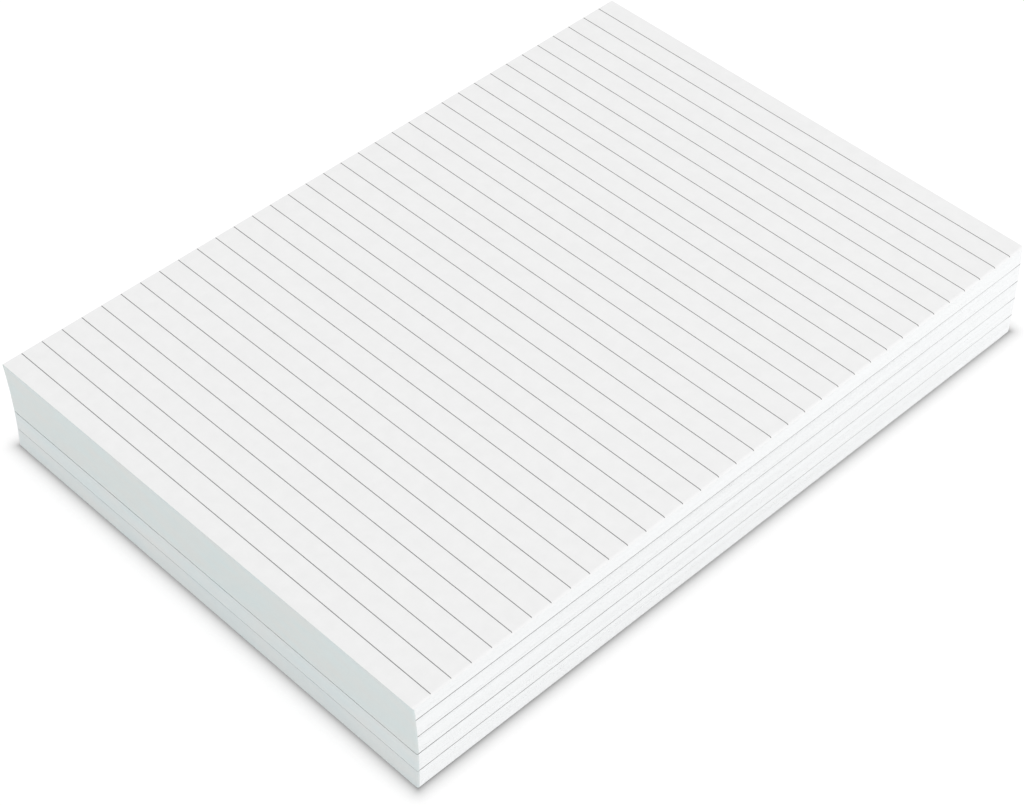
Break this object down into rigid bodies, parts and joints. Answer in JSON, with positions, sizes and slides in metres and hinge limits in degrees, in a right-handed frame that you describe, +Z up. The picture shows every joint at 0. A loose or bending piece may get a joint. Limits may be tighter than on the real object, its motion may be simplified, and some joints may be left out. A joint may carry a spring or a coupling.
{
  "type": "writing pad",
  "caption": "Thick ruled writing pad: flush sections of white leaves on thin grey backing cards, bound along one short end with a skin of padding glue.",
  "frame": {"origin": "centre of the underside", "axes": "+X across the leaf, +Y from the bound head to the free tail, +Z up through the leaves"},
  "size_m": [0.21, 0.2978, 0.042],
  "materials": {
    "paper": "matt uncoated white writing paper",
    "card": "matt grey backing card",
    "glue": "satin dried padding glue",
    "ink": "matt grey ruling ink on paper"
  },
  "bodies": {
    "root": {"sheets_1": "paper", "sheets_2": "paper", "sheets_3": "paper", "sheets_4": "paper", "sheets_5": "paper", "backing_card_1": "card", "backing_card_2": "card", "backing_card_3": "card", "backing_card_4": "card", "backing_card_5": "card", "glue_skin_1": "glue", "glue_skin_2": "glue", "glue_skin_3": "glue", "ruled_lines": "ink"}
  },
  "joints": []
}
